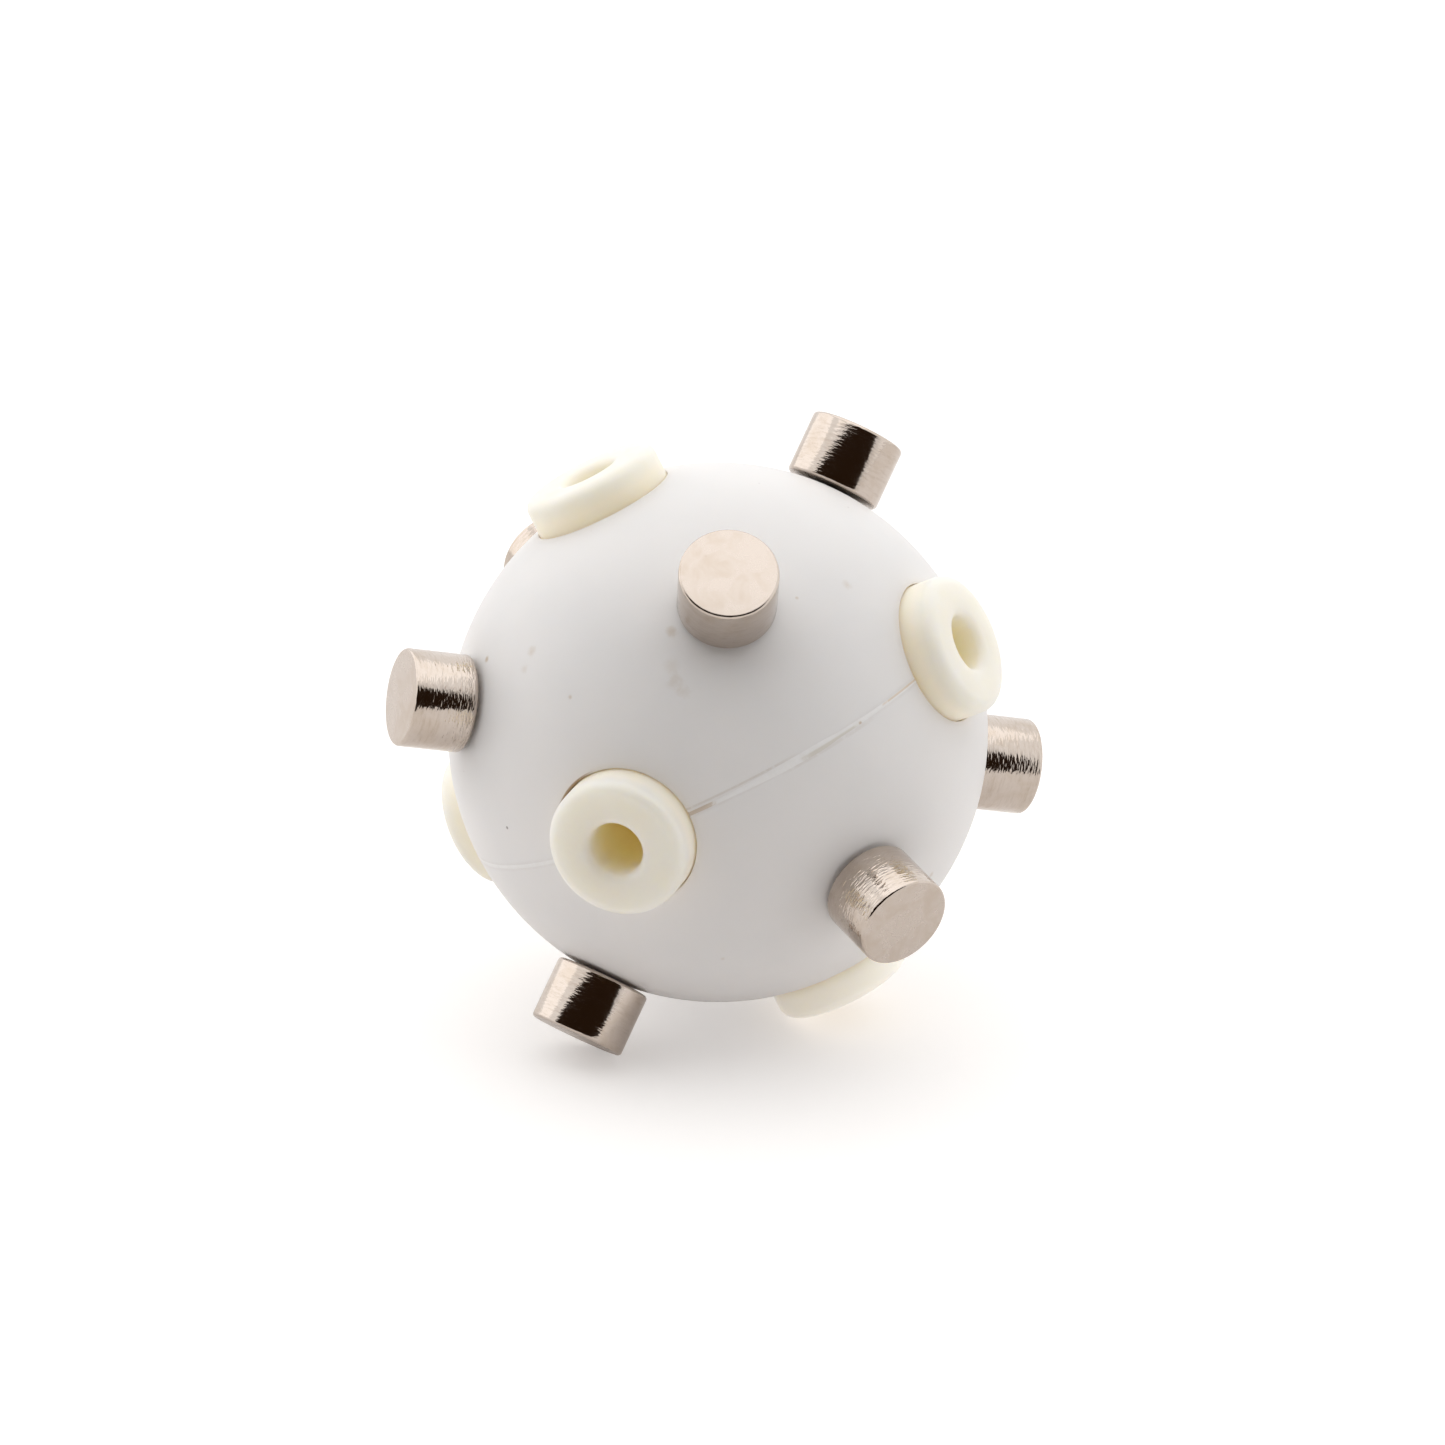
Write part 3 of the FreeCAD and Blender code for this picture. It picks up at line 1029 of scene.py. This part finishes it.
@dataclass
class SeamGlue:
    """The thin line of dried glue between the halves, with flash from the front to the right arm."""

    radius: float = 12.5
    post_hole: float = 3.29
    half_width: float = 0.15
    sunk: float = 0.05
    proud: float = 0.006
    flash_width: float = 0.27
    flash_proud: float = 0.030
    swell_place: float = 0.42
    swell_spread: float = 0.24
    end_gap: float = 0.04
    slices: int = 110

    def strand(self, quarter: int) -> bmesh.types.BMesh:
        """Make the glue of one quarter, between two neighbouring arms.

        Args:
            quarter: Which quarter, 0 for the one from the front to the right arm.

        Returns:
            The mesh.
        """
        work = bmesh.new()
        bmesh.ops.create_cone(work, cap_ends=True, segments=14, radius1=1.0, radius2=1.0, depth=2.0)
        rails = [edge for edge in work.edges if abs(edge.verts[0].co.z - edge.verts[1].co.z) > 1.0]
        bmesh.ops.subdivide_edges(work, edges=rails, cuts=self.slices)
        clear = math.asin((self.post_hole + self.end_gap) / self.radius)
        for vert in work.verts:
            share = (vert.co.z + 1.0) / 2.0
            turn = math.radians(-90 + 90 * quarter) + clear + share * (math.pi / 2 - 2 * clear)
            wide, high = self.section(share, quarter == 0)
            reach = self.radius - self.sunk + vert.co.y * (self.sunk + high) * (1 if vert.co.y > 0 else 0.3)
            vert.co = Vector((math.cos(turn) * reach, math.sin(turn) * reach, vert.co.x * wide))
        bmesh.ops.recalc_face_normals(work, faces=work.faces)
        return work

    def section(self, share: float, has_flash: bool) -> tuple[float, float]:
        """Half width and height over the ball at one place of a strand.

        Args:
            share: How far along the strand, from 0 to 1.
            has_flash: Whether flash stands out of this strand.

        Returns:
            The half width and the height.
        """
        ripple = 0.5 + 0.5 * math.sin(share * 17.0 + math.sin(share * 11.0) * 2.2)
        wide = self.half_width * (0.94 + 0.06 * ripple)
        high = self.proud * (0.7 + 0.3 * ripple)
        if has_flash:
            swell = math.exp(-((share - self.swell_place) / self.swell_spread) ** 2)
            wide += (self.flash_width - self.half_width) * swell
            high += self.flash_proud * swell * (0.6 + 0.4 * ripple)
        return wide, high

    def put(self, place: CorePlace, finish: bpy.types.Material) -> bpy.types.Object:
        """Make the four strands as one piece.

        Args:
            place: The core's place.
            finish: The glue's finish.

        Returns:
            The object.
        """
        whole = bmesh.new()
        for quarter in range(4):
            strand = self.strand(quarter)
            spare = bpy.data.meshes.new("work_strand")
            strand.to_mesh(spare)
            strand.free()
            whole.from_mesh(spare)
            bpy.data.meshes.remove(spare)
        return Piece("seam_glue", whole, place.matrix, Body.BALL.value, finish, Slot.BALL_PLASTIC).put()


# ---------------------------------------------------------------- the spider


@dataclass
class Spider:
    """The six-armed core: a hub with six posts, each with a collar and a blind screw bore."""

    hub_radius: float = 5.0
    post_radius: float = 3.25
    post_reach: float = 13.7
    post_edge: float = 0.55
    collar_radius: float = 4.2
    collar_top: float = 10.35
    collar_height: float = 1.2
    bore_radius: float = 1.25
    bore_depth: float = 8.0
    bore_mouth: float = 0.38
    root: float = 2.5

    def arm(self) -> bmesh.types.BMesh:
        """Turn one arm, pointing along z.

        Returns:
            The mesh.
        """
        collar_low = self.collar_top - self.collar_height
        bore_end = self.post_reach - self.bore_depth
        work = turned([
            (0, self.root), (self.post_radius, self.root), (self.post_radius, collar_low),
            (self.collar_radius, collar_low), (self.collar_radius, self.collar_top),
            (self.post_radius, self.collar_top), (self.post_radius, self.post_reach),
            (self.bore_radius, self.post_reach), (self.bore_radius, bore_end), (0, bore_end),
        ], 128)
        round_over(work, ring_edges(work, self.post_radius, self.post_reach), self.post_edge, 8)
        round_over(work, ring_edges(work, self.bore_radius, self.post_reach), self.bore_mouth, 6)
        return work

    def put(self, place: CorePlace, finish: bpy.types.Material) -> bpy.types.Object:
        """Join the six arms to the hub and put the spider on the frame.

        Args:
            place: The core's place.
            finish: The spider's plastic.

        Returns:
            The object.
        """
        hub = bmesh.new()
        bmesh.ops.create_icosphere(hub, subdivisions=5, radius=self.hub_radius)
        ways = [Vector(way) for way in ((0, 0, 1), (0, 0, -1), (1, 0, 0), (-1, 0, 0), (0, 1, 0), (0, -1, 0))]
        solid = combined(hub, [moved(self.arm(), along(way)) for way in ways], Joining.ADD)
        whole = Piece("spider_dressed", solid, place.matrix, Body.BALL.value, finish, Slot.SPIDER_PLASTIC,
                      ("spider",))
        return whole.put()


# ---------------------------------------------------------------- the magnets


@dataclass
class MagnetPair:
    """The two disc magnets of one corner: one glued in its pocket, one held outside by pull alone."""

    corner: Corner
    number: float
    radius: float = 2.25
    height: float = 3.0
    edge: float = 0.15
    outer_top: float = 15.53
    inner_top: float = 11.63

    def disc(self) -> bmesh.types.BMesh:
        """Turn one disc, with its top face at z = 0.

        Returns:
            The mesh.
        """
        work = turned([(0, -self.height), (self.radius, -self.height), (self.radius, 0), (0, 0)], 112)
        round_over(work, ring_edges(work, self.radius, 0) + ring_edges(work, self.radius, -self.height),
                   self.edge, 5)
        return work

    def put(self, place: CorePlace, finish: bpy.types.Material) -> None:
        """Put both discs on the frame.

        Args:
            place: The core's place.
            finish: The nickel plating.
        """
        turn = along(self.corner.direction)
        letter = self.corner.letter
        for kind, top, body in (("outer", self.outer_top, f"magnet_{letter}"),
                                ("inner", self.inner_top, Body.BALL.value)):
            set_at = place.matrix @ Matrix.Translation(self.corner.direction * top) @ turn
            number = self.number + (0.0 if kind == "outer" else INNER_PATTERN_STEP)
            Piece(f"{kind}_magnet_{letter}_dressed", self.disc(), set_at, body, finish, Slot.NICKEL_PLATE,
                  (f"{kind}_magnet_{letter}",), number).put()


# ---------------------------------------------------------------- the studio


@dataclass(frozen=True)
class SoftBox:
    """One soft light, aimed at the ball.

    Attributes:
        name: Its name.
        azimuth: Its side in degrees, 0 in front and 90 to the right.
        elevation: Its height in degrees.
        away: Its distance, in metres.
        size: Its width and height, in metres.
        watts: Its power.
        colour: Its colour.
    """

    name: str
    azimuth: float
    elevation: float
    away: float
    size: tuple[float, float]
    watts: float
    colour: Colour = (1.0, 1.0, 1.0)

    def put(self, centre: Vector) -> None:
        """Hang the light.

        Args:
            centre: What it is aimed at.
        """
        light = bpy.data.lights.new(self.name, "AREA")
        light.shape = "RECTANGLE"
        light.size, light.size_y = self.size
        light.energy = self.watts
        light.color = self.colour
        lamp = bpy.data.objects.new(self.name, light)
        bpy.context.scene.collection.objects.link(lamp)
        towards = sight(self.azimuth, self.elevation)
        lamp.location = centre + towards * self.away
        lamp.rotation_euler = towards.to_track_quat("Z", "Y").to_euler()
        lamp.visible_camera = False


def sight(azimuth: float, elevation: float) -> Vector:
    """The direction with an azimuth, 0 in front and 90 to the right, and an elevation, in degrees."""
    side, up = math.radians(azimuth), math.radians(elevation)
    return Vector((math.sin(side) * math.cos(up), -math.cos(side) * math.cos(up), math.sin(up)))


@dataclass
class Studio:
    """The camera, the table, the bright room with its dark front side, and the soft lights."""

    azimuth: float = 19.74
    elevation: float = 24.32
    distance: float = 0.3056
    lens: float = 164.3
    sensor: float = 36.0
    aim_right: float = 0.00021
    aim_up: float = 0.00045
    table_radius: float = 2.5
    room: float = 1.16
    front: float = 0.54
    dark: Colour = (0.020, 0.010, 0.005)
    dark_at: tuple[float, float] = (13.0, 22.0)
    dark_half_angles: tuple[float, float] = (57.0, 33.0)
    shade_at: tuple[float, float] = (28.0, 10.0)
    lights: tuple[SoftBox, ...] = field(default_factory=lambda: (
        SoftBox("left_softbox", -98.0, 26.0, 0.50, (0.50, 0.40), 0.28, (1.0, 0.98, 0.96)),
        SoftBox("top_softbox", 185.0, 83.0, 0.60, (0.80, 0.80), 0.80, (1.0, 0.99, 0.98)),
    ))

    def put(self, centre: Vector) -> None:
        """Set up everything.

        Args:
            centre: The ball's centre.
        """
        self.put_camera(centre)
        self.put_table()
        self.put_room()
        for light in self.lights:
            light.put(centre)
        bpy.context.scene.view_settings.view_transform = "Standard"

    def put_camera(self, centre: Vector) -> None:
        """Set up the camera.

        Args:
            centre: The ball's centre.
        """
        camera = bpy.data.cameras.new("camera")
        camera.lens, camera.sensor_width = self.lens, self.sensor
        camera.clip_start, camera.clip_end = 0.01, 20.0
        holder = bpy.data.objects.new("camera", camera)
        bpy.context.scene.collection.objects.link(holder)
        back = sight(self.azimuth, self.elevation)
        right = Vector((0, 0, 1)).cross(back).normalized()
        up = back.cross(right)
        aim = centre + right * self.aim_right + up * self.aim_up
        holder.location = centre + back * self.distance
        holder.rotation_euler = (holder.location - aim).to_track_quat("Z", "Y").to_euler()
        bpy.context.scene.camera = holder

    def put_table(self) -> None:
        """Lay the table."""
        work = bmesh.new()
        bmesh.ops.create_circle(work, cap_ends=True, segments=96, radius=self.table_radius)
        table = loose_object("table", work)
        table.data.materials.append(PaleTable().material())

    def put_room(self) -> None:
        """Light the room evenly, but for its dark side where the viewer stands."""
        world = bpy.data.worlds.new("room")
        world.use_nodes = True
        bpy.context.scene.world = world
        bench = NodeBench(world.node_tree)
        way = bench.node("ShaderNodeTexCoord", output="Generated")
        front, side = sight(*self.dark_at), sight(self.dark_at[0] + 90.0, 0.0)
        ahead = bench.vector_maths("DOT_PRODUCT", way, tuple(front), output="Value")
        aside = bench.vector_maths("DOT_PRODUCT", way, tuple(side), output="Value")
        above = bench.vector_maths("DOT_PRODUCT", way, tuple(side.cross(front)), output="Value")
        half_width, half_height = (math.tan(math.radians(angle)) for angle in self.dark_half_angles)
        wide = aside / ahead.most(0.05) / half_width
        high = above / ahead.most(0.05) / half_height
        gap = (wide * wide * wide * wide + high * high * high * high) ** 0.25
        dark = gap.rise(1.05, 0.95)
        seen = bench.node("ShaderNodeLightPath", output="Is Camera Ray")
        right_front = bench.vector_maths("DOT_PRODUCT", way, tuple(sight(*self.shade_at)), output="Value")
        shade = right_front.rise(0.46, 0.88)
        colour = bench.blend(shade * (1.0 - seen), (1.0, 1.0, 1.0), (self.front,) * 3)
        colour = bench.blend(dark * (1.0 - seen), colour, self.dark)
        glow = bench.node("ShaderNodeBackground", inputs={"Color": colour, "Strength": self.room})
        bench.node_out("ShaderNodeOutputWorld", glow)


# ---------------------------------------------------------------- everything


def main() -> None:
    """Build every piece in order."""
    logging.basicConfig(level=logging.INFO, format="%(name)s: %(message)s")
    place = CorePlace.from_record(frame["record"])
    Studio().put(place.centre)
    white = WhiteBallPlastic().material()
    HalfShell("upper_shell", Matrix.Identity(4), rim_step=-0.80, rim_radius=11.77).put(place, white)
    upside_down = Matrix.Rotation(math.pi, 4, "X")
    HalfShell("lower_shell", upside_down, rim_step=0.85, rim_radius=11.82).put(place, white)
    SeamGlue().put(place, DriedGlue().material())
    Spider().put(place, IvorySpiderPlastic().material())
    nickel = NickelPlate().material()
    for number, corner in enumerate(Corner):
        coarse = COARSE_NUMBER if corner.ground_coarse else 0.0
        MagnetPair(corner, PATTERN_STEP * number + coarse).put(place, nickel)


if __name__ == "__main__":
    main()
